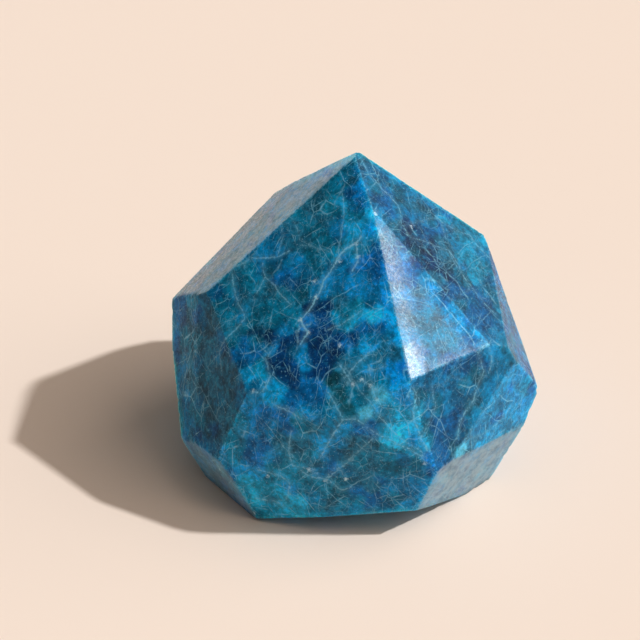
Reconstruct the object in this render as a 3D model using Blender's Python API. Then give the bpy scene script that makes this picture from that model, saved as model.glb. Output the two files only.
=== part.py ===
"""Blue apatite: one freely faceted and polished stone that rests on its base facet.

The stone is cut the way a lapidary cuts it. A plain block is trimmed by one flat cut per facet,
and then every edge is dulled by narrow cuts that follow a small radius. Lengths are in millimetres.
Front is -Y, right is +X and up is +Z.
"""
import math

import bmesh
import bpy
from mathutils import Vector

MM = 0.001

# Block and datum
BLOCK_SIDE = 60.0
CENTRE_HEIGHT = 17.6      # from the base facet up to the point every reach is measured from

# Edges
EDGE_RADIUS = 0.5         # radius that the polish has worn on every edge
EDGE_CUTS = 2             # narrow cuts that follow the radius round one edge
SHORTEST_EDGE = 1.0       # an edge shorter than this is left to the cuts of its neighbours
SNAP = 0.002              # cuts this close to a corner go through the corner

# Colour of the polished stone
STONE_COLOUR = (0.030, 0.235, 0.370, 1.0)
STONE_ROUGHNESS = 0.18

# Each facet: name, turn, tilt, reach.
# Turn is in degrees round the upright, 0 at the front and positive to the right.
# Tilt is in degrees above the horizontal, negative where the facet looks down.
# Reach is how far the facet lies from the datum point.
FACETS = (
    # Large facets round the front
    ("brow", -39, 43, 9.5),
    ("front", -29, 41, 9.5),
    ("glint", 37, 48, 11.4),
    ("shoulder", 63, 50, 11.3),
    ("lip", 3, 5, 16.2),
    ("cheek", 37, 13, 15.5),
    ("apron", -28, 13, 14.3),
    ("keel", -2, -4, 16.9),
    ("chin", -16, 0, 16.1),
    # Narrow facets along the two sides
    ("rim", 84, 26, 14.3),
    ("flank", 47, 0, 17.3),
    ("under", 44, -17, 19.3),
    ("left", -56, 20, 13.5),
    ("far_left", -68, 14, 15.2),
    ("hip", -52, -18, 21.0),
    ("crest", -91, 48, 11.9),
    ("temple", -99, 45, 12.4),
    # Facets round the back
    ("back_top", 150, 34, 11.3),
    ("back_crown", -170, 44, 13.2),
    ("back_shoulder", -130, 27, 14.7),
    ("back_right", 112, 8, 14.2),
    ("back", 160, 3, 15.5),
    ("back_left", -140, 5, 17.0),
    ("left_side", -105, -12, 20.0),
    # Facets that run in under the stone
    ("back_low", 175, -35, 18.0),
    ("right_low", 90, -24, 20.2),
    ("left_low", -110, -28, 19.6),
    ("front_low", 10, -60, 20.9),
    ("base", 0, -90, CENTRE_HEIGHT),
)


def clear_scene():
    for item in list(bpy.data.objects):
        bpy.data.objects.remove(item, do_unlink=True)
    for group in list(bpy.data.collections):
        bpy.data.collections.remove(group)


def facing(turn, tilt):
    """Outward direction of a facet from its turn and tilt in degrees."""
    around = math.radians(turn)
    above = math.radians(tilt)
    level = math.cos(above)
    return Vector((math.sin(around) * level, -math.cos(around) * level, math.sin(above)))


def cut_flat(stone, outward, reach):
    """Take away everything that lies further out than reach along outward, and close the face."""
    cut = bmesh.ops.bisect_plane(
        stone,
        geom=stone.verts[:] + stone.edges[:] + stone.faces[:],
        dist=SNAP * MM,
        plane_co=outward * (reach * MM),
        plane_no=outward,
        clear_outer=True,
    )
    rim = [item for item in cut["geom_cut"] if isinstance(item, bmesh.types.BMEdge)]
    open_rim = [edge for edge in rim if len(edge.link_faces) == 1]
    if len(open_rim) > 2:
        bmesh.ops.contextual_create(stone, geom=open_rim)
        bmesh.ops.recalc_face_normals(stone, faces=stone.faces[:])


def reach_of(face):
    """How far a face lies from the datum point, in millimetres."""
    return face.normal.dot(face.calc_center_median()) / MM


def edge_cuts(stone):
    """Outward direction and reach of the cuts that dull the edges of the sharp stone."""
    cuts = []
    for edge in stone.edges:
        if edge.calc_length() < SHORTEST_EDGE * MM:
            continue
        one, other = edge.link_faces
        corner = one.normal.angle(other.normal)
        # The worn edge is a round of EDGE_RADIUS that touches both facets
        one_reach = reach_of(one) - EDGE_RADIUS
        other_reach = reach_of(other) - EDGE_RADIUS
        for step in range(1, EDGE_CUTS + 1):
            share = step / (EDGE_CUTS + 1)
            from_one = math.sin((1.0 - share) * corner) / math.sin(corner)
            from_other = math.sin(share * corner) / math.sin(corner)
            outward = one.normal * from_one + other.normal * from_other
            reach = one_reach * from_one + other_reach * from_other + EDGE_RADIUS
            cuts.append((outward.normalized(), reach))
    return cuts


def cut_stone():
    stone = bmesh.new()
    bmesh.ops.create_cube(stone, size=BLOCK_SIDE * MM)
    for _name, turn, tilt, reach in FACETS:
        cut_flat(stone, facing(turn, tilt), reach)
    stone.normal_update()
    for outward, reach in edge_cuts(stone):
        cut_flat(stone, outward, reach)
    return stone


def rest_on_origin(stone):
    """Move the stone so that the middle of its footprint box is at the origin."""
    low = Vector([min(vert.co[axis] for vert in stone.verts) for axis in range(3)])
    high = Vector([max(vert.co[axis] for vert in stone.verts) for axis in range(3)])
    middle = (low + high) / 2.0
    bmesh.ops.translate(stone, verts=stone.verts[:], vec=Vector((-middle.x, -middle.y, -low.z)))


def stone_material():
    material = bpy.data.materials.new("apatite")
    material.use_nodes = True
    shader = material.node_tree.nodes["Principled BSDF"]
    shader.inputs["Base Color"].default_value = STONE_COLOUR
    shader.inputs["Roughness"].default_value = STONE_ROUGHNESS
    shader.inputs["Metallic"].default_value = 0.0
    return material


def main():
    clear_scene()
    group = bpy.data.collections.new("blue_apatite")
    bpy.context.scene.collection.children.link(group)
    stone = cut_stone()
    rest_on_origin(stone)
    mesh = bpy.data.meshes.new("apatite_stone")
    stone.to_mesh(mesh)
    stone.free()
    mesh.materials.append(stone_material())
    group.objects.link(bpy.data.objects.new("apatite_stone", mesh))


main()
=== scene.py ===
import math
import random

import bmesh
import bpy
import numpy as np
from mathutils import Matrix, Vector, kdtree, noise
from mathutils.bvhtree import BVHTree


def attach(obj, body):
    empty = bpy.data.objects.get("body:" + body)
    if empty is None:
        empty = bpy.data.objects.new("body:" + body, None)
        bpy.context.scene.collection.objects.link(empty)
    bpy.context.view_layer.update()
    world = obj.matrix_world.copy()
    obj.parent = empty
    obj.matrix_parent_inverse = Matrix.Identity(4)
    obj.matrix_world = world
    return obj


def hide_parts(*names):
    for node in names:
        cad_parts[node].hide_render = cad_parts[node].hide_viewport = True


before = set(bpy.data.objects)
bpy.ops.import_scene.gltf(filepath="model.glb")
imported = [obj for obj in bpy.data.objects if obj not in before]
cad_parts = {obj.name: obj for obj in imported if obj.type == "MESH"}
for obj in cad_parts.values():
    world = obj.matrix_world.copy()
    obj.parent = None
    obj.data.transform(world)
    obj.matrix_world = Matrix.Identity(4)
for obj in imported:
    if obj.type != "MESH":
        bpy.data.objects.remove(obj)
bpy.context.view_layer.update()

MM = 0.001

# Camera. The datum is a point inside the stone that shows at one known pixel of the 640 x 640 photograph.
DATUM = Vector((0.346, -0.969, 17.6)) * MM
DATUM_PIXEL = (355.5, 303.0)
DISTANCE = 185.4 * MM
VIEW_ELEVATION = math.radians(33.0)
FOCAL_PIXELS = 1797.0
PICTURE = 640.0
SENSOR = 36.0
CLIP_NEAR = 0.01
CLIP_FAR = 20.0

VIEW_RIGHT = Vector((1.0, 0.0, 0.0))
VIEW_FORWARD = Vector((0.0, math.cos(VIEW_ELEVATION), -math.sin(VIEW_ELEVATION)))
VIEW_UP = Vector((0.0, math.sin(VIEW_ELEVATION), math.cos(VIEW_ELEVATION)))

# Light: a small key sun, and a wide panel from the same side that softens its shadow
SUN_AZIMUTH = math.radians(-3.5)
SUN_ELEVATION = math.radians(42.4)
SUN_STRENGTH = 2.85
SUN_SIZE = math.radians(2.2)
SUN_COLOUR = (0.98, 1.0, 1.01)
PANEL_STRENGTH = 1.3
PANEL_SIZE = math.radians(62.0)
PANEL_COLOUR = (1.0, 0.86, 0.74)
# Height of a direction above the horizon, as its sine, and the room's brightness there
ROOM = (
    (0.00, (1.15, 1.07, 0.99)),
    (0.06, (0.92, 0.86, 0.80)),
    (0.24, (0.05, 0.043, 0.036)),
    (0.74, (0.05, 0.043, 0.036)),
    (0.88, (0.36, 0.32, 0.28)),
    (1.00, (0.50, 0.44, 0.38)),
)

# Floor
FLOOR_REACH = 3.0
FLOOR_DROP = 0.01 * MM
FLOOR_COLOUR = (0.865, 0.735, 0.645)
FLOOR_ROUGHNESS = 0.9
FLOOR_SPECULAR = 0.1

# Facets of the stone
SMALLEST_FACET = 7.0 * MM * MM    # smaller flats are the narrow cuts along the CAD model's edges
SAME_WAY = 0.99999                # cosine of the turn up to which two flats are one facet
NAMED_WAY = 0.9999                # cosine of the turn up to which a facet is one of those whose painted shading, painted reflection and polish are listed
LEAST_FACING = 1e-3               # cosine of the turn past which a facet is never met
FAR = 1.0                         # distance in metres that stands for a facet that is never met
LEAST_TURN = 1e-9                 # keeps a facet's gap to itself from being divided by nothing
BALL_LEVEL = 6
FINE_FROM = (-0.50, 0.08)         # cosine toward the camera from which each refinement of the ball starts
BORDER_CATCH = 0.42               # share of the spacing within which a point is moved onto a border

# Relief: faint waves, pits, nicks along the edges and bruises
WAVE_DEPTH = 0.03 * MM
WAVE_LENGTH = 4.5 * MM
GRIT_LENGTH = 0.35 * MM
PIT_DEPTH = 0.05 * MM
PIT_FROM = 0.45
NICK_LENGTH = 1.1 * MM
NICK_DEPTH = 0.10 * MM
NICK_FROM = 0.30
EDGE_WEAR = 0.30 * MM
CHIP_RADIUS = 0.70                # in mm
CHIP_DEPTH = 0.14 * MM
CHIP_EVEN = 0.7
CHIP_UNEVEN = 0.5

# Painted shade and light, painted reflection and polish of the facets that show. Each is told by its turn
# and tilt in degrees, as the CAD source gives them, and has the strength of its colour and painted
# reflection, set darker on the sunlit facets and lighter on the shaded ones as painted shade and light, the
# share of a pale painted reflection on the facets seen at a slant, and how dull the polish is, which is
# negative where it is finer than usual.
FACET_SHADE_REFLECTION_AND_POLISH = {
    "brow": (-39, 43, 1.06, 0.0, 0.0),
    "front": (-29, 41, 1.38, 0.0, 0.0),
    "glint": (37, 48, 0.98, 0.0, -0.05),
    "shoulder": (63, 50, 0.54, 0.0, 0.1),
    "lip": (3, 5, 1.48, 0.0, 0.0),
    "cheek": (37, 13, 0.60, 0.0, 0.1),
    "apron": (-28, 13, 1.36, 0.0, 0.3),
    "keel": (-2, -4, 0.88, 0.0, 0.3),
    "chin": (-16, 0, 1.20, 0.0, 0.3),
    "rim": (84, 26, 0.62, 0.0, -0.3),
    "flank": (47, 0, 0.90, 0.0, 0.1),
    "under": (44, -17, 0.78, 0.70, 0.3),
    "left": (-56, 20, 0.68, 0.0, 0.6),
    "far_left": (-68, 14, 0.88, 0.0, 0.8),
    "hip": (-52, -18, 0.90, 0.38, 0.5),
    "crest": (-91, 48, 1.68, 0.60, -0.3),
    "temple": (-99, 45, 1.50, 0.55, -0.3),
}
# Painted shading strength, painted reflection share and dullness of the facets that don't show
PLAIN_SHADE_REFLECTION_AND_POLISH = (0.95, 0.0, 0.0)
# The painted reflection fades toward a facet's border, within this distance, down to this share
PAINTED_REFLECTION_EDGE = 0.9 * MM
PAINTED_REFLECTION_AT_EDGE = 0.65

# Marks of the stone's face, each at a pixel of the photograph, from which it is laid on the surface.
# Domains are the stone's cloudy cells, grouped by their colour.
PALETTE = {
    "navy": (0.000, 0.040, 0.150),
    "royal": (0.000, 0.130, 0.370),
    "blue": (0.000, 0.185, 0.420),
    "azure": (0.000, 0.235, 0.490),
    "cyan": (0.004, 0.310, 0.540),
    "teal": (0.000, 0.190, 0.350),
    "slate": (0.008, 0.150, 0.280),
    "pine": (0.004, 0.075, 0.115),
    "pale": (0.050, 0.330, 0.490),
}
DOMAINS = {
    "navy": (
        (321, 316), (271, 337), (335, 334), (291, 366), (317, 359), (446, 279), (420, 244), (301, 334),
        (327, 327), (258, 330), (407, 222), (283, 372),
    ),
    "royal": (
        (431, 230), (477, 314), (387, 204), (451, 424), (466, 366), (243, 359), (295, 285), (440, 459),
        (376, 330), (460, 296), (368, 261), (376, 272), (256, 352), (264, 447), (303, 397), (281, 414),
        (357, 429),
    ),
    "blue": (
        (270, 245), (300, 265), (331, 279), (365, 195), (384, 176), (387, 300), (355, 289), (336, 454),
        (393, 387), (427, 384), (396, 487), (460, 396), (250, 385),
    ),
    "azure": (
        (374, 339), (486, 416), (500, 380), (421, 474), (329, 419), (481, 444), (505, 405), (436, 178),
        (390, 318), (278, 400),
    ),
    "cyan": (
        (350, 220), (360, 310), (399, 410), (471, 264), (264, 487), (280, 490), (459, 236), (345, 205),
        (388, 432), (400, 440), (300, 503), (336, 196), (256, 500),
    ),
    "teal": (
        (305, 199), (225, 289), (247, 282), (310, 226), (260, 325), (293, 470), (329, 494), (389, 463),
        (340, 185), (231, 441), (325, 240), (345, 247), (285, 310), (230, 310), (410, 450),
    ),
    "slate": (
        (318, 217), (300, 232), (411, 207), (314, 430), (304, 446), (451, 259), (379, 356), (225, 360),
        (225, 395), (210, 330), (355, 445), (345, 462), (270, 292), (200, 390), (280, 444), (222, 425),
        (245, 300), (370, 470),
    ),
    "pine": (
        (341, 392), (348, 410), (335, 378),
    ),
    "pale": (
        (460, 451), (377, 394), (221, 470), (446, 480), (481, 473), (366, 412),
    ),
}
# Chance cells fill in between the domains, and take the colour of a domain close by more often than not
COMMON = ("royal", "blue", "blue", "azure", "teal", "teal", "slate")
RARE = ("pine", "pale")
RARE_INSTEAD = "slate"
CELL_SEED = 11
CELL_TRIES = 24000
CELL_GAP = 1.75 * MM
CELL_CROWDING = (0.55, 1.0)
KIN_REACH = 2.6 * MM
KIN_SHARE = 0.6
CELL_WARP = 0.60 * MM
CELL_WARP_LENGTH = 1.4 * MM
CELL_WARP_SEED = 7
CELL_NEIGHBOURS = 7
CELL_BLEND = 0.58                 # in mm
SHADE_SEED = 5
CELL_SHADE = (0.85, 1.15)
BORDER_SHUFFLE = 7.31
# The veins that stand out: their corners, half width in mm and whiteness
VEINS = (
    (((342, 193), (344, 215), (341, 238), (338, 257)), 0.08, 0.20),
    (((362, 160), (378, 183), (388, 194), (398, 205)), 0.07, 0.55),
    (((398, 205), (401, 221), (392, 231)), 0.07, 0.45),
    (((338, 257), (324, 280), (316, 297), (305, 315), (300, 320)), 0.09, 0.80),
    (((338, 257), (356, 243), (362, 236)), 0.11, 0.70),
    (((356, 243), (358, 262), (352, 272)), 0.10, 0.60),
    (((300, 320), (308, 333), (300, 345)), 0.10, 0.70),
    (((232, 268), (238, 303), (245, 318), (228, 336)), 0.09, 0.50),
    (((232, 268), (252, 258), (277, 257), (290, 250)), 0.08, 0.50),
    (((257, 293), (265, 277), (262, 262)), 0.07, 0.50),
    (((265, 277), (275, 285), (283, 297), (292, 305)), 0.08, 0.45),
    (((280, 213), (283, 235), (277, 257)), 0.06, 0.45),
    (((280, 213), (292, 219), (300, 240), (313, 247)), 0.06, 0.35),
    (((300, 245), (313, 247), (330, 252)), 0.06, 0.40),
    (((328, 330), (340, 325), (352, 318), (362, 310)), 0.07, 0.45),
    (((340, 365), (353, 385), (362, 380), (371, 386), (377, 400)), 0.09, 0.55),
    (((370, 352), (355, 365), (343, 380)), 0.08, 0.60),
    (((344, 366), (360, 391), (386, 424), (407, 443), (425, 455)), 0.08, 0.30),
    (((371, 386), (369, 372), (385, 365)), 0.08, 0.50),
    (((328, 392), (343, 420), (335, 432), (321, 457)), 0.09, 0.55),
    (((343, 420), (355, 419), (372, 431)), 0.08, 0.50),
    (((275, 405), (290, 412), (302, 420)), 0.10, 0.55),
    (((270, 378), (262, 392), (250, 393)), 0.09, 0.60),
    (((270, 378), (266, 360), (272, 350)), 0.08, 0.45),
    (((291, 431), (289, 450), (293, 466), (318, 474)), 0.08, 0.45),
    (((375, 437), (358, 452), (345, 465), (327, 480)), 0.09, 0.45),
    (((327, 480), (312, 477), (300, 470)), 0.09, 0.50),
    (((327, 480), (340, 490), (352, 487)), 0.09, 0.50),
    (((308, 471), (325, 480), (338, 466), (345, 478)), 0.07, 0.50),
    (((256, 498), (270, 500), (285, 507)), 0.10, 0.50),
    (((258, 470), (276, 474), (290, 484), (286, 500)), 0.10, 0.40),
    (((403, 225), (412, 238), (430, 243), (449, 250), (458, 268)), 0.07, 0.50),
    (((412, 238), (402, 226), (430, 218), (441, 220), (447, 240)), 0.06, 0.45),
    (((449, 250), (463, 275), (482, 300), (497, 315)), 0.07, 0.50),
    (((463, 275), (470, 290), (460, 295)), 0.06, 0.45),
    (((435, 215), (447, 225), (470, 235), (490, 258)), 0.08, 0.35),
    (((478, 352), (484, 372), (474, 400), (462, 418), (457, 440)), 0.09, 0.60),
    (((478, 352), (488, 343), (492, 358), (489, 372)), 0.08, 0.50),
    (((432, 385), (436, 405), (428, 425), (420, 440)), 0.07, 0.50),
    (((440, 385), (452, 376), (470, 382)), 0.05, 0.40),
    (((463, 440), (480, 436), (497, 424), (512, 404)), 0.06, 0.40),
    (((497, 424), (490, 440), (484, 452)), 0.06, 0.40),
    (((413, 388), (417, 397), (413, 410), (416, 425), (421, 440), (428, 452)), 0.10, 0.45),
    (((372, 431), (391, 440), (408, 448), (425, 457)), 0.07, 0.70),
    (((228, 336), (219, 352), (222, 372)), 0.10, 0.30),
)
VEIN_SEED = 3
VEIN_BOW = 0.06                   # share of a stretch's length
VEIN_JITTER = 0.5                 # in pixels
# Where the bright facet's polish is best, where a painted white highlight also goes, and where it is worst:
# corners, reach in mm and strength
GLEAMS = (
    (((383, 238), (392, 268), (402, 308)), 2.2, 0.85),
    (((402, 308), (409, 345), (412, 360)), 2.0, 0.75),
    (((411, 352), (416, 374)), 2.6, 1.35),
    (((414, 378), (446, 366), (486, 350)), 1.5, 0.65),
)
SMEARS = ((((424, 270), (446, 300), (478, 338)), 2.2, 1.0),)
LINE_STEPS = 24
# Bruises: small broken spots
CHIPS = (
    (356, 243), (340, 260), (358, 256), (316, 297), (300, 320), (308, 333), (314, 281), (253, 391),
    (362, 380), (371, 386), (353, 385), (377, 400), (425, 464), (267, 477), (219, 470), (254, 514),
    (183, 437), (376, 213), (281, 216), (412, 226), (340, 345), (326, 482), (309, 470), (346, 480),
)

# Texture of the stone. A noise is told by its features per mm, its detail and its roughness.
# A span is told by the two values that it reaches between and, where they aren't 0 and 1, by the results
# at its two ends.
NOISE_MIDDLE = (0.5, 0.5, 0.5)
BENDS = ((0.25, 1.0), (0.9, 0.28))    # features per mm and reach in mm
BEND_DETAIL = 2.0
BEND_ROUGH = 0.5
# Tilt of the crystal's long axis, along which its fine tubes and streaks run
GRAIN_TURN = (math.radians(-28.0), math.radians(20.0), 0.0)
GRAIN_STRETCH = (1.0, 1.0, 0.16)

CLOUD = (0.55, 5.0, 0.62)
CLOUD_SPAN = (0.36, 0.64, 0.62, 1.36)
MOTTLE = (2.2, 6.0, 0.72)
MOTTLE_SPAN = (0.34, 0.66, 0.66, 1.40)
MOTTLE_OFFSET = (31.0, 0.0, 0.0)

HAZE = (0.012, 0.290, 0.480)
PUFF = (1.1, 6.0, 0.7)
PUFF_SPAN = (0.48, 0.74)
HAZE_BORDER_SPAN = (0.40, 0.0)
HAZE_AT_BORDER = 0.45
HAZE_ALL_OVER = 0.12
TUBES = (2.6, 4.0, 0.65)
TUBE_SPAN = (0.54, 0.78)
TUBE_SHARE = 0.16

VEIN_WHITE = (0.25, 0.62, 0.82)
# The veins' pale follows the facet's painted shading, held between these
VEIN_LEAST_FACET_SHADING = 0.6
VEIN_MOST_FACET_SHADING = 1.05
SEAM_WIDTH = (1.4, 3.0, 0.55)
SEAM_WIDTH_SPAN = (0.35, 0.75, 0.01, 0.08)
SEAM_WHITE_SPAN = (0.30, 1.0)
SEAM_SHARE = 0.50
SEAM_FADE = (1.8, 3.0, 0.55)
SEAM_FADE_SPAN = (0.35, 0.6)
# Hair veins: cells per mm, half width in cells, whiteness, and the noise that fades them
HAIRS = (
    (0.40, 0.024, 0.80, (0.268, 4.0, 0.55)),
    (0.80, 0.032, 0.60, (0.316, 4.0, 0.55)),
    (1.60, 0.044, 0.42, (0.412, 4.0, 0.55)),
)
HAIR_STRETCH = (1.0, 0.8, 0.62)
HAIR_FADE_SPAN = (0.46, 0.66)
# Nearly flat sets of healed cracks: direction across them, sheets per mm, half width in mm, whiteness
CRACKS = (
    ((0.74, 0.12, 0.66), 0.50, 0.075, 0.62),
    ((-0.52, 0.38, 0.76), 0.60, 0.065, 0.55),
    ((0.88, -0.44, 0.18), 0.55, 0.060, 0.50),
    ((0.15, 0.72, -0.68), 0.75, 0.060, 0.45),
)
CRACK_OFFSET = 9.7
CRACK_PATCH = (0.26, 3.0, 0.6)
CRACK_PATCH_SPAN = (0.50, 0.64)
BREAKS = (2.6, 4.0, 0.7)
BREAK_SPAN = (0.36, 0.60, 0.45, 1.25)
RAGGED = (3.2, 4.0, 0.6)
RAGGED_SPAN = (0.30, 0.70, 0.9, 2.2)
TRACED_WHITE_SPAN = (0.20, 0.80, 0.62, 1.0)
GLOW_SPAN = (6.0, 0.5)
GLOW_SHARE = 0.24

SPECKS = (4.4, 3.0, 0.6)
SPECK_SPAN = (0.60, 0.72)
SPECK_SHARE = 0.55
BRUISE = (4.5, 4.0, 0.8)
BRUISE_PULL = 0.55
BRUISE_SPAN = (0.86, 1.12)
BRUISE_SHARE = 0.85
BRUISE_WHITE = (0.55, 0.80, 0.90)
WEAR = (1.5, 5.0, 0.7)
WEAR_SPAN = (0.46, 0.66)
WEAR_EDGE_SPAN = (0.2, 1.0)
WEAR_SHARE = 0.30
WEAR_PALE = (0.16, 0.52, 0.72)
# Painted reflection of the bright floor and room on the facets seen at a slant, broken into patches by a
# noise
PAINTED_REFLECTION_COLOUR = (0.37, 0.50, 0.58)
PAINTED_REFLECTION_PATCH = (1.2, 5.0, 0.7)
PAINTED_REFLECTION_SPAN = (0.34, 0.62, 0.50, 1.15)
# Painted highlight: white specks on the bright facet where it gleams
SPARKLE = (4.2, 4.0, 0.75)
SPARKLE_SPAN = (0.42, 0.62, 0.0, 0.34)
SPARKLE_WHITE = (0.50, 0.66, 0.80)

POLISH = (3.0, 5.0, 0.7)
POLISH_SPAN = (0.34, 0.66, 0.28, 0.40)
DULL_ROUGHNESS = 0.30
GLEAM_POLISH = 0.085
SMEAR_ROUGHNESS = 0.30
SCRATCHES = (4.0, 4.0, 0.7)
GRIT = (3.6, 5.0, 0.75)
RELIEF_DEPTH = 0.055 * MM
RELIEF_GLEAM = 0.4
RELIEF_SPAN = (0.0, 0.6, 0.55, 0.2)
STONE_IOR = 1.63
STONE_SPECULAR = 0.11
DEPTH_SHARE = 0.85
DEPTH_RADIUS = (0.3, 0.9, 1.0)
DEPTH_SCALE = 6.0 * MM


def view_ray(pixel):
    """The camera's place and the direction in which it sees a pixel."""
    across = (DATUM_PIXEL[0] - PICTURE / 2) / FOCAL_PIXELS * DISTANCE
    above = (PICTURE / 2 - DATUM_PIXEL[1]) / FOCAL_PIXELS * DISTANCE
    place = DATUM - VIEW_FORWARD * DISTANCE - VIEW_RIGHT * across - VIEW_UP * above
    right = (pixel[0] - PICTURE / 2) / FOCAL_PIXELS
    up = (PICTURE / 2 - pixel[1]) / FOCAL_PIXELS
    return place, (VIEW_FORWARD + VIEW_RIGHT * right + VIEW_UP * up).normalized()


def link(item):
    bpy.context.scene.collection.objects.link(item)
    return item


def make_camera():
    data = bpy.data.cameras.new("camera")
    data.sensor_width = SENSOR
    data.lens = SENSOR * FOCAL_PIXELS / PICTURE
    data.clip_start = CLIP_NEAR
    data.clip_end = CLIP_FAR
    camera = link(bpy.data.objects.new("camera", data))
    camera.location = view_ray(DATUM_PIXEL)[0]
    camera.rotation_euler = (math.pi / 2 - VIEW_ELEVATION, 0.0, 0.0)
    bpy.context.scene.camera = camera


def make_sun(name, strength, size, colour):
    data = bpy.data.lights.new(name, "SUN")
    data.energy = strength
    data.angle = size
    data.color = colour
    lamp = link(bpy.data.objects.new(name, data))
    toward = Vector((
        math.cos(SUN_ELEVATION) * math.cos(SUN_AZIMUTH),
        math.cos(SUN_ELEVATION) * math.sin(SUN_AZIMUTH),
        math.sin(SUN_ELEVATION),
    ))
    lamp.rotation_euler = toward.to_track_quat("Z", "Y").to_euler()


def make_room():
    world = bpy.data.worlds.new("studio")
    bpy.context.scene.world = world
    world.use_nodes = True
    nodes = world.node_tree.nodes
    links = world.node_tree.links
    where = nodes.new("ShaderNodeTexCoord")
    split = nodes.new("ShaderNodeSeparateXYZ")
    ramp = nodes.new("ShaderNodeValToRGB")
    stops = ramp.color_ramp.elements
    while len(stops) < len(ROOM):
        stops.new(1.0)
    for stop, (height, colour) in zip(stops, ROOM):
        stop.position = height
        stop.color = (*colour, 1.0)
    links.new(where.outputs["Generated"], split.inputs[0])
    links.new(split.outputs["Z"], ramp.inputs[0])
    links.new(ramp.outputs[0], nodes["Background"].inputs["Color"])


def make_floor():
    corners = [
        (-FLOOR_REACH, -FLOOR_REACH, 0.0),
        (FLOOR_REACH, -FLOOR_REACH, 0.0),
        (FLOOR_REACH, FLOOR_REACH, 0.0),
        (-FLOOR_REACH, FLOOR_REACH, 0.0),
    ]
    mesh = bpy.data.meshes.new("floor")
    mesh.from_pydata(corners, [], [(0, 1, 2, 3)])
    floor = link(bpy.data.objects.new("floor", mesh))
    floor.location.z = -FLOOR_DROP
    material = bpy.data.materials.new("floor")
    material.use_nodes = True
    shader = material.node_tree.nodes["Principled BSDF"]
    shader.inputs["Base Color"].default_value = (*FLOOR_COLOUR, 1.0)
    shader.inputs["Roughness"].default_value = FLOOR_ROUGHNESS
    shader.inputs["Specular IOR Level"].default_value = FLOOR_SPECULAR
    mesh.materials.append(material)


def facet_planes(node):
    """Outward direction, and reach from the datum, of each facet of the CAD stone."""
    mesh = node.data
    mesh.calc_loop_triangles()
    points = np.array([vert.co[:] for vert in mesh.vertices], float)
    facets = []
    for triangle in mesh.loop_triangles:
        a, b, c = (points[place] for place in triangle.vertices)
        cross = np.cross(b - a, c - a)
        size = np.linalg.norm(cross)
        if size == 0.0:
            continue
        outward = cross / size
        for facet in facets:
            if facet[1] @ outward > SAME_WAY:
                facet[0] += size / 2
                break
        else:
            facets.append([size / 2, outward, float(outward @ (a - np.array(DATUM)))])
    kept = [facet for facet in facets if facet[0] > SMALLEST_FACET]
    return np.array([facet[1] for facet in kept]), np.array([facet[2] for facet in kept])


def fine_ball():
    """A ball of triangles, refined twice toward the side that the photograph shows."""
    ball = bmesh.new()
    bmesh.ops.create_icosphere(ball, subdivisions=BALL_LEVEL, radius=1.0)
    for limit in FINE_FROM:
        edges = set()
        for face in ball.faces:
            if face.calc_center_median().normalized().dot(-VIEW_FORWARD) > limit:
                edges.update(face.edges)
        bmesh.ops.subdivide_edges(ball, edges=list(edges), cuts=1, use_grid_fill=True)
        for vert in ball.verts:
            vert.co.normalize()
    bmesh.ops.triangulate(ball, faces=[face for face in ball.faces if len(face.verts) > 3])
    return ball


def reach_out(ways, normals, reaches):
    """Distance from the datum to the facets along each direction, and the facet that is met."""
    facing = ways @ normals.T
    lengths = np.where(facing > LEAST_FACING, reaches / np.maximum(facing, LEAST_FACING), FAR)
    return lengths.min(1), lengths.argmin(1)


def border_of(points, facet, normals, reaches):
    """Step in the facet from each point to its nearest border, and the step's length."""
    own = normals[facet]
    turn = own @ normals.T
    across = np.sqrt(np.clip(1.0 - turn * turn, LEAST_TURN, 1.0))
    gaps = (reaches - points @ normals.T) / across
    gaps[np.arange(len(points)), facet] = FAR
    other = gaps.argmin(1)
    step = normals[other] - own * (own * normals[other]).sum(1)[:, None]
    step /= np.linalg.norm(step, axis=1)[:, None]
    gap = gaps.min(1)
    return step * gap[:, None], gap


def spacing_of(ball, points):
    """Mean length of the edges that meet at each point."""
    spacing = []
    for vert in ball.verts:
        lengths = 0.0
        for edge in vert.link_edges:
            side = points[edge.verts[0].index] - points[edge.verts[1].index]
            lengths += side.dot(side) ** 0.5
        spacing.append(lengths / len(vert.link_edges))
    return np.array(spacing)


def faceted_points(ball, normals, reaches):
    """The ball's points laid on the facets, with those that lie close to a border moved onto it."""
    ways = np.array([vert.co[:] for vert in ball.verts])
    length, facet = reach_out(ways, normals, reaches)
    points = ways * length[:, None]
    step, gap = border_of(points, facet, normals, reaches)
    close = gap < spacing_of(ball, points) * BORDER_CATCH
    points[close] += step[close]
    size = np.linalg.norm(points, axis=1)
    length, facet = reach_out(points / size[:, None], normals, reaches)
    points *= (length / size)[:, None]
    return points, facet, border_of(points, facet, normals, reaches)[1]


def name_of(outward):
    """Name of the facet that faces outward, if it is one of those that show."""
    for name, (turn, tilt, *_) in FACET_SHADE_REFLECTION_AND_POLISH.items():
        level = math.cos(math.radians(tilt))
        facing = Vector((
            math.sin(math.radians(turn)) * level,
            -math.cos(math.radians(turn)) * level,
            math.sin(math.radians(tilt)),
        ))
        if outward.dot(facing) > NAMED_WAY:
            return name
    return None


def kernel(gap, radius):
    """1 at a mark's middle, 0 past its radius."""
    near = np.clip(1.0 - gap / radius, 0.0, 1.0)
    return near * near * (3.0 - 2.0 * near)


def hits(tree, pixels):
    """The points of the surface that show at the pixels."""
    found = []
    for pixel in pixels:
        place, way = view_ray(pixel)
        spot = tree.ray_cast(place, way)[0]
        if spot is not None:
            found.append(spot)
    return found


def guide_to(spots):
    """A tree that finds the nearest of the spots."""
    tree = kdtree.KDTree(len(spots))
    for place, spot in enumerate(spots):
        tree.insert(spot, place)
    tree.balance()
    return tree


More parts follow.
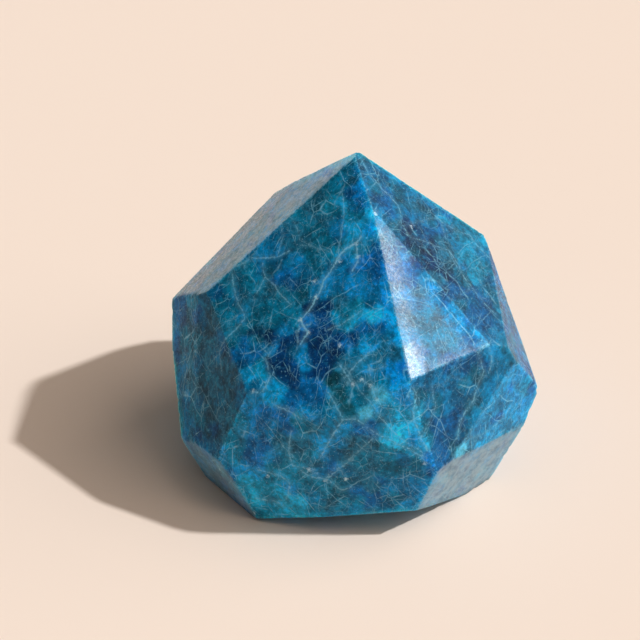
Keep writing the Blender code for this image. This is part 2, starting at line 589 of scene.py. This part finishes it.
def gaps_to(points, spots, count=1):
    """Distance in mm from each point to its nearest spots, and which they are."""
    guide = guide_to(spots)
    gaps = np.zeros((len(points), count))
    which = np.zeros((len(points), count), int)
    for row, point in enumerate(points):
        for column, (_, place, gap) in enumerate(guide.find_n(point, count)):
            gaps[row, column] = gap / MM
            which[row, column] = place
    return gaps, which


def box_of(spot):
    """The box of the sorting grid that holds a spot."""
    return tuple(int(math.floor(value / CELL_GAP)) for value in spot)


def crowded(grid, spot, gap):
    """Whether a cell's middle in the grid lies closer to the spot than the gap."""
    x, y, z = box_of(spot)
    for dx in (-1, 0, 1):
        for dy in (-1, 0, 1):
            for dz in (-1, 0, 1):
                for other in grid.get((x + dx, y + dy, z + dz), ()):
                    if (other - spot).length < gap:
                        return True
    return False


def scatter_cells(points, tree):
    """Middles and colours of the cells: the domains that show, then chance ones over all the rest."""
    chance = random.Random(CELL_SEED)
    middles = []
    names = []
    grid = {}
    for name, pixels in DOMAINS.items():
        for spot in hits(tree, pixels):
            middles.append(spot)
            names.append(name)
            grid.setdefault(box_of(spot), []).append(spot)
    guide = guide_to(middles)
    order = list(range(len(points)))
    chance.shuffle(order)
    for place in order[:CELL_TRIES]:
        spot = points[place]
        if crowded(grid, spot, CELL_GAP * chance.uniform(*CELL_CROWDING)):
            continue
        _, nearest, gap = guide.find(spot)
        name = chance.choice(COMMON)
        if gap < KIN_REACH and chance.random() < KIN_SHARE:
            name = names[nearest]
        if name in RARE:
            name = RARE_INSTEAD
        middles.append(spot)
        names.append(name)
        grid.setdefault(box_of(spot), []).append(spot)
    return middles, names


def cell_fields(points, tree):
    """Colour of the cell at each point, distance in mm to the cell's border and that border's whiteness."""
    middles, names = scatter_cells(points, tree)
    # Without a seed of its own the vector noise would differ from run to run
    noise.seed_set(CELL_WARP_SEED)
    warped = []
    for point in points:
        bend = noise.noise_vector(point / CELL_WARP_LENGTH)
        warped.append(point + bend * CELL_WARP)
    gaps, which = gaps_to(warped, middles, CELL_NEIGHBOURS)
    where = np.array([spot[:] for spot in middles])
    between = np.linalg.norm(where[which[:, 0]] - where[which[:, 1]], axis=1) / MM
    border = (gaps[:, 1] ** 2 - gaps[:, 0] ** 2) / (2.0 * between)
    chance = random.Random(SHADE_SEED)
    shade = np.array([chance.uniform(*CELL_SHADE) for _ in middles])
    whiteness = np.array([chance.random() for _ in middles])
    colours = np.array([PALETTE[name] for name in names]) * shade[:, None]
    share = np.exp((gaps[:, :1] ** 2 - gaps ** 2) / CELL_BLEND ** 2)
    share /= share.sum(1)[:, None]
    blended = (colours[which] * share[:, :, None]).sum(1)
    pair = whiteness[which[:, 0]] + whiteness[which[:, 1]]
    strength = (pair * BORDER_SHUFFLE) % 1.0
    return blended, border, strength


def vein_fields(points, tree):
    """Distance in half widths to the nearest traced vein, and its whiteness, at each point."""
    chance = random.Random(VEIN_SEED)
    spots = []
    widths = []
    whites = []
    for corners, half_width, white in VEINS:
        for (x0, y0), (x1, y1) in zip(corners, corners[1:]):
            length = math.hypot(x1 - x0, y1 - y0)
            steps = max(2, int(length))
            bow = chance.uniform(-VEIN_BOW, VEIN_BOW) * length
            for step in range(steps):
                along = step / steps
                side = math.sin(along * math.pi) * bow + chance.uniform(-VEIN_JITTER, VEIN_JITTER)
                x = x0 + (x1 - x0) * along - (y1 - y0) / length * side
                y = y0 + (y1 - y0) * along + (x1 - x0) / length * side
                for spot in hits(tree, [(x, y)]):
                    spots.append(spot)
                    widths.append(half_width)
                    whites.append(white)
    gaps, which = gaps_to(points, spots)
    gap = gaps[:, 0] / np.array(widths)[which[:, 0]]
    return gap, np.array(whites)[which[:, 0]]


def lines_field(points, tree, lines):
    """Strength of the lines at each point. A line has corners in pixels, a reach in mm and a strength."""
    strongest = np.zeros(len(points))
    for corners, reach, strength in lines:
        pixels = []
        for (x0, y0), (x1, y1) in zip(corners, corners[1:]):
            for step in range(LINE_STEPS):
                along = step / LINE_STEPS
                pixels.append((x0 + (x1 - x0) * along, y0 + (y1 - y0) * along))
        gaps = gaps_to(points, hits(tree, pixels))[0]
        strongest = np.maximum(strongest, kernel(gaps[:, 0], reach) * strength)
    return strongest


def set_field(mesh, name, values):
    """Store a value or a colour at each point of the mesh, for the material to read."""
    values = np.asarray(values, np.float32)
    if values.ndim == 2:
        field = mesh.attributes.new(name, "FLOAT_COLOR", "POINT")
        opaque = np.ones((len(values), 1), np.float32)
        field.data.foreach_set("color", np.hstack([values, opaque]).ravel())
    else:
        field = mesh.attributes.new(name, "FLOAT", "POINT")
        field.data.foreach_set("value", values)


def relief(spot, edge, chip):
    """How far the surface at a spot is sunk toward the datum."""
    wave = noise.noise(spot / WAVE_LENGTH) * WAVE_DEPTH
    rough = noise.noise(spot / GRIT_LENGTH)
    nick = max(0.0, noise.noise(spot / NICK_LENGTH) - NICK_FROM) * edge * NICK_DEPTH
    pit = max(0.0, rough - PIT_FROM) * PIT_DEPTH
    sink = chip * CHIP_DEPTH * (CHIP_EVEN + CHIP_UNEVEN * rough)
    return WAVE_DEPTH / 2 - wave + nick + pit + sink


def stone_mesh(node):
    normals, reaches = facet_planes(node)
    ball = fine_ball()
    ball.verts.ensure_lookup_table()
    ball.verts.index_update()
    laid, facet, border_gap = faceted_points(ball, normals, reaches)
    for vert, spot in zip(ball.verts, laid):
        vert.co = DATUM + Vector(spot)
    tree = BVHTree.FromBMesh(ball)
    points = [vert.co.copy() for vert in ball.verts]

    colours, border, strength = cell_fields(points, tree)
    vein_gap, vein_white = vein_fields(points, tree)
    chip = kernel(gaps_to(points, hits(tree, CHIPS))[0][:, 0], CHIP_RADIUS)
    edge = np.clip(1.0 - border_gap / EDGE_WEAR, 0.0, 1.0)
    names = [name_of(Vector(normal)) for normal in normals]
    # Each point's painted facet shading, share of painted reflection and dullness
    shade_reflection_and_polish = np.array([FACET_SHADE_REFLECTION_AND_POLISH[name][2:] if name else PLAIN_SHADE_REFLECTION_AND_POLISH for name in names])[facet]
    glint = np.array([float(name == "glint") for name in names])[facet]
    # The painted reflection is fainter close to a facet's border
    inside = np.clip(border_gap / PAINTED_REFLECTION_EDGE, 0.0, 1.0)
    painted_reflection = shade_reflection_and_polish[:, 1] * (PAINTED_REFLECTION_AT_EDGE + (1.0 - PAINTED_REFLECTION_AT_EDGE) * inside)

    for row, vert in enumerate(ball.verts):
        spot = points[row]
        vert.co += (DATUM - spot).normalized() * relief(spot, edge[row], chip[row])
    for face in ball.faces:
        face.smooth = True
    mesh = bpy.data.meshes.new("stone_body")
    ball.to_mesh(mesh)
    ball.free()
    # The cells' colours carry the facet's painted shading
    set_field(mesh, "cell_colour_with_facet_shading", colours * shade_reflection_and_polish[:, :1])
    set_field(mesh, "cell_border", border)
    set_field(mesh, "cell_border_white", strength)
    set_field(mesh, "vein_gap", vein_gap)
    set_field(mesh, "vein_white", vein_white)
    set_field(mesh, "chip", chip)
    set_field(mesh, "edge", edge)
    # The gleam lines set a finer polish and a painted highlight on the bright facet
    set_field(mesh, "gleam", lines_field(points, tree, GLEAMS) * glint)
    set_field(mesh, "smear", lines_field(points, tree, SMEARS) * glint)
    # The painted facet shading on its own, for the veins' pale and the painted reflection
    set_field(mesh, "painted_facet_shading", shade_reflection_and_polish[:, 0])
    set_field(mesh, "painted_reflection", painted_reflection)
    set_field(mesh, "dull", shade_reflection_and_polish[:, 2])
    return mesh


class Shading:
    """Short names for the shader nodes of one material."""

    def __init__(self, material):
        material.use_nodes = True
        self.nodes = material.node_tree.nodes
        self.links = material.node_tree.links
        self.shader = self.nodes["Principled BSDF"]

    def feed(self, socket, value):
        """Link a socket to another node's output, or set it to a plain value."""
        if hasattr(value, "node"):
            self.links.new(value, socket)
        elif isinstance(value, tuple) and len(value) == 3 and socket.type == "RGBA":
            socket.default_value = (*value, 1.0)
        else:
            socket.default_value = value

    def math(self, kind, a, b):
        node = self.nodes.new("ShaderNodeMath")
        node.operation = kind
        self.feed(node.inputs[0], a)
        self.feed(node.inputs[1], b)
        return node.outputs[0]

    def plus(self, a, b):
        return self.math("ADD", a, b)

    def times(self, a, b):
        return self.math("MULTIPLY", a, b)

    def most(self, a, b):
        return self.math("MAXIMUM", a, b)

    def vector(self, kind, a, b, output="Vector"):
        node = self.nodes.new("ShaderNodeVectorMath")
        node.operation = kind
        self.feed(node.inputs[0], a)
        self.feed(node.inputs[1], b)
        return node.outputs[output]

    def stretch(self, value, factors):
        return self.vector("MULTIPLY", value, factors)

    def remap(self, value, low, high, to_low=0.0, to_high=1.0):
        node = self.nodes.new("ShaderNodeMapRange")
        node.interpolation_type = "SMOOTHSTEP"
        self.feed(node.inputs["Value"], value)
        self.feed(node.inputs["From Min"], low)
        self.feed(node.inputs["From Max"], high)
        self.feed(node.inputs["To Min"], to_low)
        self.feed(node.inputs["To Max"], to_high)
        return node.outputs[0]

    def mix(self, share, a, b):
        node = self.nodes.new("ShaderNodeMix")
        node.data_type = "RGBA"
        self.feed(node.inputs[0], share)
        self.feed(node.inputs[6], a)
        self.feed(node.inputs[7], b)
        return node.outputs[2]

    def noise(self, where, scale, detail, rough, output="Fac"):
        node = self.nodes.new("ShaderNodeTexNoise")
        self.feed(node.inputs["Vector"], where)
        self.feed(node.inputs["Scale"], scale)
        self.feed(node.inputs["Detail"], detail)
        self.feed(node.inputs["Roughness"], rough)
        return node.outputs[output]

    def noisy(self, where, kind, span):
        """A noise, remapped to a span."""
        return self.remap(self.noise(where, *kind), *span)

    def edge_gap(self, dimensions, socket, where, scale):
        """Distance to the edge of the chance cell, in cells."""
        node = self.nodes.new("ShaderNodeTexVoronoi")
        node.voronoi_dimensions = dimensions
        node.feature = "DISTANCE_TO_EDGE"
        self.feed(node.inputs[socket], where)
        self.feed(node.inputs["Scale"], scale)
        return node.outputs["Distance"]

    def warp(self, where, scale, amount):
        drift = self.noise(where, scale, BEND_DETAIL, BEND_ROUGH, "Color")
        bend = self.vector("SUBTRACT", drift, NOISE_MIDDLE)
        return self.vector("ADD", where, self.stretch(bend, (amount, amount, amount)))

    def field(self, name, output="Fac"):
        node = self.nodes.new("ShaderNodeAttribute")
        node.attribute_name = name
        return node.outputs[output]

    def object_mm(self):
        node = self.nodes.new("ShaderNodeTexCoord")
        scale = 1.0 / MM
        return self.stretch(node.outputs["Object"], (scale, scale, scale))

    def along_grain(self, mm):
        turn = self.nodes.new("ShaderNodeVectorRotate")
        turn.rotation_type = "EULER_XYZ"
        turn.inputs["Rotation"].default_value = GRAIN_TURN
        self.feed(turn.inputs["Vector"], mm)
        return self.stretch(turn.outputs[0], GRAIN_STRETCH)


def cloudy_colour(net, bent, grain):
    """The cells' colours, with the facet's painted shading, under soft clouds and finer mottling that keep
    the hue, with haze and tubes.
    """
    colour = net.field("cell_colour_with_facet_shading", "Color")
    colour = net.stretch(colour, net.noisy(bent, CLOUD, CLOUD_SPAN))
    colour = net.stretch(colour, net.noisy(net.vector("ADD", bent, MOTTLE_OFFSET), MOTTLE, MOTTLE_SPAN))
    near = net.remap(net.field("cell_border"), *HAZE_BORDER_SPAN)
    share = net.plus(net.times(near, HAZE_AT_BORDER), HAZE_ALL_OVER)
    colour = net.mix(net.times(share, net.noisy(bent, PUFF, PUFF_SPAN)), colour, HAZE)
    return net.mix(net.times(net.noisy(grain, TUBES, TUBE_SPAN), TUBE_SHARE), colour, HAZE)


def seams(net, mm):
    """Healed cracks along the borders of the cells."""
    width = net.noisy(mm, SEAM_WIDTH, SEAM_WIDTH_SPAN)
    seam = net.remap(net.field("cell_border"), width, 0.0)
    seam = net.times(seam, net.remap(net.field("cell_border_white"), *SEAM_WHITE_SPAN))
    return net.times(net.times(seam, SEAM_SHARE), net.noisy(mm, SEAM_FADE, SEAM_FADE_SPAN))


def hair_veins(net, mm, bent, veins):
    """Nets of hair veins at several scales, on top of the veins so far."""
    for scale, width, white, fade in HAIRS:
        gap = net.edge_gap("3D", "Vector", net.stretch(bent, HAIR_STRETCH), scale)
        line = net.times(net.remap(gap, width, 0.0), net.noisy(mm, fade, HAIR_FADE_SPAN))
        veins = net.most(veins, net.times(line, white))
    return veins


def crack_lines(net, mm, bent, veins):
    """Sets of nearly flat healed cracks, each in patches of its own, on top of the veins so far."""
    for place, (way, scale, width, white) in enumerate(CRACKS):
        gap = net.edge_gap("1D", "W", net.vector("DOT_PRODUCT", bent, way, "Value"), scale)
        apart = net.vector("ADD", mm, (CRACK_OFFSET * place, 0.0, CRACK_OFFSET))
        line = net.times(net.remap(gap, width * scale, 0.0), net.noisy(apart, CRACK_PATCH, CRACK_PATCH_SPAN))
        veins = net.most(veins, net.times(line, white))
    return veins


def traced_veins(net, mm):
    """The traced veins with ragged sides and a faint glow beside them."""
    gap = net.field("vein_gap")
    white = net.field("vein_white")
    traced = net.remap(gap, net.noisy(mm, RAGGED, RAGGED_SPAN), 0.0)
    traced = net.times(traced, net.remap(white, *TRACED_WHITE_SPAN))
    glow = net.times(net.times(net.remap(gap, *GLOW_SPAN), white), GLOW_SHARE)
    return net.most(traced, glow)


def surface_colour(net, mm, bent, grain):
    """The whole colour: clouds, veins, specks of trapped fluid, bruises, worn edges, painted facet shading,
    painted reflection and a painted sparkle highlight.
    """
    colour = cloudy_colour(net, bent, grain)
    veins = crack_lines(net, mm, bent, hair_veins(net, mm, bent, seams(net, mm)))
    veins = net.most(net.times(veins, net.noisy(mm, BREAKS, BREAK_SPAN)), traced_veins(net, mm))
    # The veins' pale takes the facet's painted shading
    painted_facet_shading = net.field("painted_facet_shading")
    vein_facet_shading = net.most(VEIN_LEAST_FACET_SHADING, net.math("MINIMUM", painted_facet_shading, VEIN_MOST_FACET_SHADING))
    pale = net.stretch(VEIN_WHITE, vein_facet_shading)
    colour = net.mix(veins, colour, pale)
    colour = net.mix(net.times(net.noisy(mm, SPECKS, SPECK_SPAN), SPECK_SHARE), colour, pale)
    broken = net.plus(net.times(net.field("chip"), BRUISE_PULL), net.noise(mm, *BRUISE))
    colour = net.mix(net.times(net.remap(broken, *BRUISE_SPAN), BRUISE_SHARE), colour, BRUISE_WHITE)
    wear = net.times(net.remap(net.field("edge"), *WEAR_EDGE_SPAN), net.noisy(mm, WEAR, WEAR_SPAN))
    colour = net.mix(net.times(wear, WEAR_SHARE), colour, WEAR_PALE)
    # Painted reflection on the facets seen at a slant
    painted_reflection = net.times(net.field("painted_reflection"), net.noisy(bent, PAINTED_REFLECTION_PATCH, PAINTED_REFLECTION_SPAN))
    colour = net.mix(painted_reflection, colour, net.stretch(PAINTED_REFLECTION_COLOUR, painted_facet_shading))
    # Painted highlight: white sparkle where the bright facet gleams
    sparkle = net.times(net.field("gleam"), net.noisy(mm, SPARKLE, SPARKLE_SPAN))
    return net.mix(sparkle, colour, SPARKLE_WHITE)


def stone_material():
    material = bpy.data.materials.new("blue_apatite")
    net = Shading(material)
    shader = net.shader
    mm = net.object_mm()
    grain = net.along_grain(mm)
    bent = mm
    for scale, amount in BENDS:
        bent = net.warp(bent, scale, amount)
    net.feed(shader.inputs["Base Color"], surface_colour(net, mm, bent, grain))

    # Polish, finer or duller facet by facet
    rough = net.noisy(grain, POLISH, POLISH_SPAN)
    rough = net.plus(rough, net.times(net.field("dull"), DULL_ROUGHNESS))
    rough = net.math("SUBTRACT", rough, net.times(net.field("gleam"), GLEAM_POLISH))
    rough = net.plus(rough, net.times(net.field("smear"), SMEAR_ROUGHNESS))
    net.feed(shader.inputs["Roughness"], rough)
    shader.inputs["IOR"].default_value = STONE_IOR
    shader.inputs["Specular IOR Level"].default_value = STONE_SPECULAR
    shader.inputs["Subsurface Weight"].default_value = DEPTH_SHARE
    shader.inputs["Subsurface Radius"].default_value = DEPTH_RADIUS
    shader.inputs["Subsurface Scale"].default_value = DEPTH_SCALE

    # Fine scratches along the grain, and grit, which are fainter under the painted reflection and where the
    # facet gleams
    bump = net.nodes.new("ShaderNodeBump")
    calm = net.most(net.field("painted_reflection"), net.times(net.field("gleam"), RELIEF_GLEAM))
    net.feed(bump.inputs["Strength"], net.remap(calm, *RELIEF_SPAN))
    bump.inputs["Distance"].default_value = RELIEF_DEPTH
    net.feed(bump.inputs["Height"], net.plus(net.noise(grain, *SCRATCHES), net.noise(mm, *GRIT)))
    net.feed(shader.inputs["Normal"], bump.outputs[0])
    return material


def make_stone():
    mesh = stone_mesh(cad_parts["apatite_stone"])
    stone = link(bpy.data.objects.new("stone_body", mesh))
    mesh.materials.append(stone_material())
    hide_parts("apatite_stone")
    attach(stone, "root")


bpy.context.scene.view_settings.view_transform = "Standard"
make_camera()
make_sun("key", SUN_STRENGTH, SUN_SIZE, SUN_COLOUR)
make_sun("panel", PANEL_STRENGTH, PANEL_SIZE, PANEL_COLOUR)
make_room()
make_floor()
make_stone()
